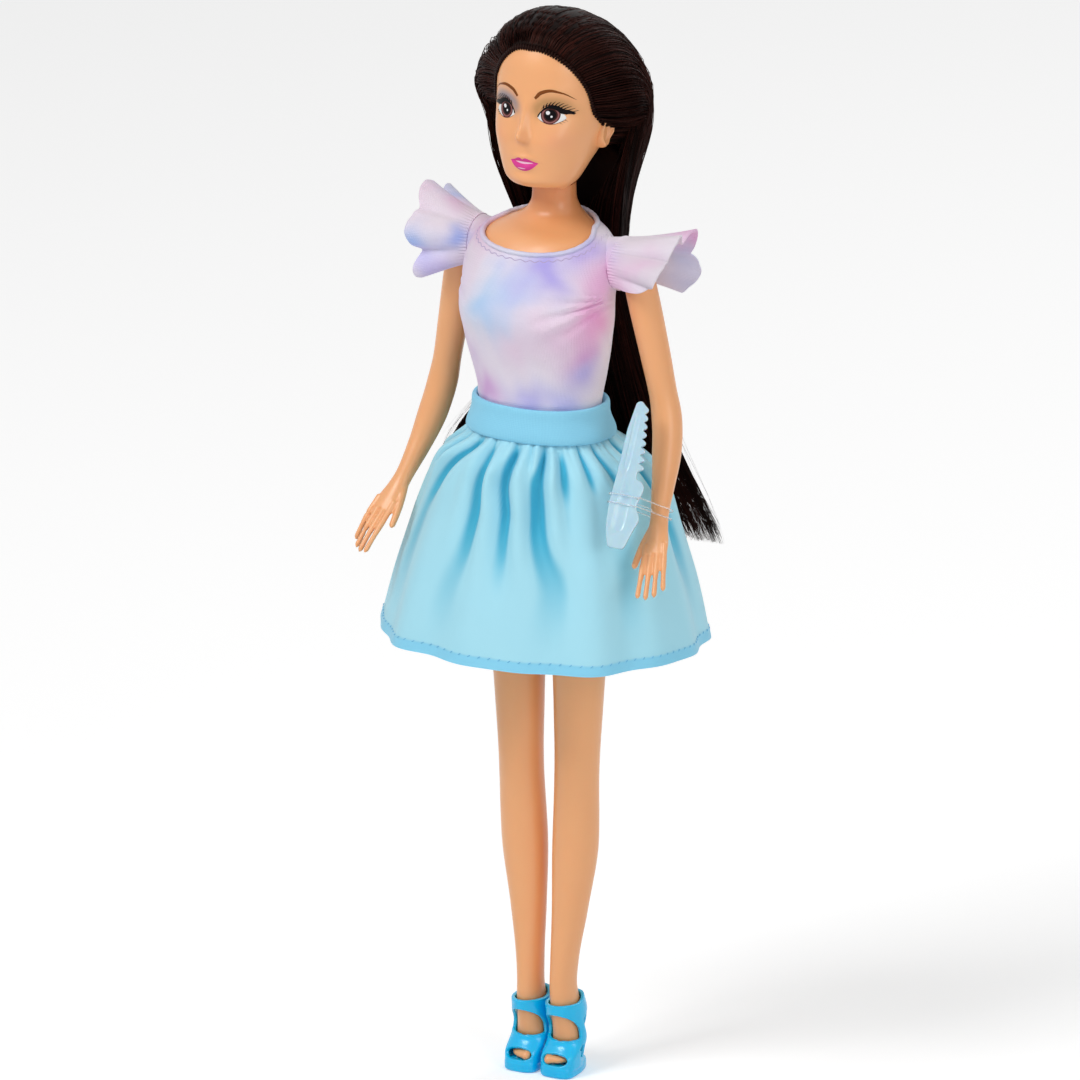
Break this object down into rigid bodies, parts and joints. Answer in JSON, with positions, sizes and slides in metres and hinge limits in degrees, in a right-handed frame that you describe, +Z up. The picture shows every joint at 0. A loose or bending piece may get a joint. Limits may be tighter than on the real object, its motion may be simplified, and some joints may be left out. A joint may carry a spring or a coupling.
{
  "type": "fashion doll",
  "caption": "Slim fashion doll with long hair, frilled top, gathered skirt and sandals, turning head and swinging arms and legs, a comb tied to one wrist.",
  "frame": {"origin": "on the floor under the middle of the doll's box, between the soles", "axes": "+Z up, the doll faces -Y, its left side is +X"},
  "size_m": [0.0942, 0.0752, 0.2914],
  "materials": {
    "skin_vinyl": "satin tan vinyl",
    "joint_plastic": "plain moulded plastic",
    "hair_fibre": "glossy rooted fibre",
    "knit": "fine pastel tie-dyed knit",
    "closure_tape": "hook and loop tape",
    "band_knit": "thick folded knit",
    "skirt_cloth": "fine satin twill",
    "shoe_vinyl": "glossy moulded vinyl",
    "comb_plastic": "translucent",
    "clear_tie": "clear"
  },
  "bodies": {
    "torso": {"torso_front": "skin_vinyl", "torso_back": "skin_vinyl", "neck_knob": "joint_plastic", "hip_axle": "joint_plastic", "top": "knit", "neck_binding": "knit", "top_closure": "closure_tape", "waistband": "band_knit", "waistband_tab": "closure_tape", "skirt": "skirt_cloth"},
    "head": {"head": "skin_vinyl", "hair_cap": "hair_fibre", "hair_length": "hair_fibre"},
    "right_arm": {"right_arm": "skin_vinyl", "right_sleeve_frill": "knit"},
    "left_arm": {"left_arm": "skin_vinyl", "left_sleeve_frill": "knit", "comb": "comb_plastic", "wrist_tie_1": "clear_tie", "wrist_tie_2": "clear_tie"},
    "right_leg": {"right_leg": "skin_vinyl", "right_sandal": "shoe_vinyl"},
    "left_leg": {"left_leg": "skin_vinyl", "left_sandal": "shoe_vinyl"}
  },
  "joints": [
    {"name": "head_turn", "type": "hinge", "parent": "torso", "child": "head", "pos_m": [0, 0.007, 0.2417], "axis": [0, 0, 1], "range_deg": [-80, 80], "deforming": ["hair_length"]},
    {"name": "right_shoulder", "type": "hinge", "parent": "torso", "child": "right_arm", "pos_m": [-0.0258, 0.005, 0.223], "axis": [-1, 0, 0], "range_deg": [-60, 170]},
    {"name": "left_shoulder", "type": "hinge", "parent": "torso", "child": "left_arm", "pos_m": [0.0258, 0.005, 0.223], "axis": [-1, 0, 0], "range_deg": [-5, 160]},
    {"name": "right_hip", "type": "hinge", "parent": "torso", "child": "right_leg", "pos_m": [-0.0046, 0.005, 0.148], "axis": [-1, 0, 0], "range_deg": [-25, 75], "deforming": ["skirt"]},
    {"name": "left_hip", "type": "hinge", "parent": "torso", "child": "left_leg", "pos_m": [0.0046, 0.005, 0.148], "axis": [-1, 0, 0], "range_deg": [-25, 75], "deforming": ["skirt"]}
  ]
}
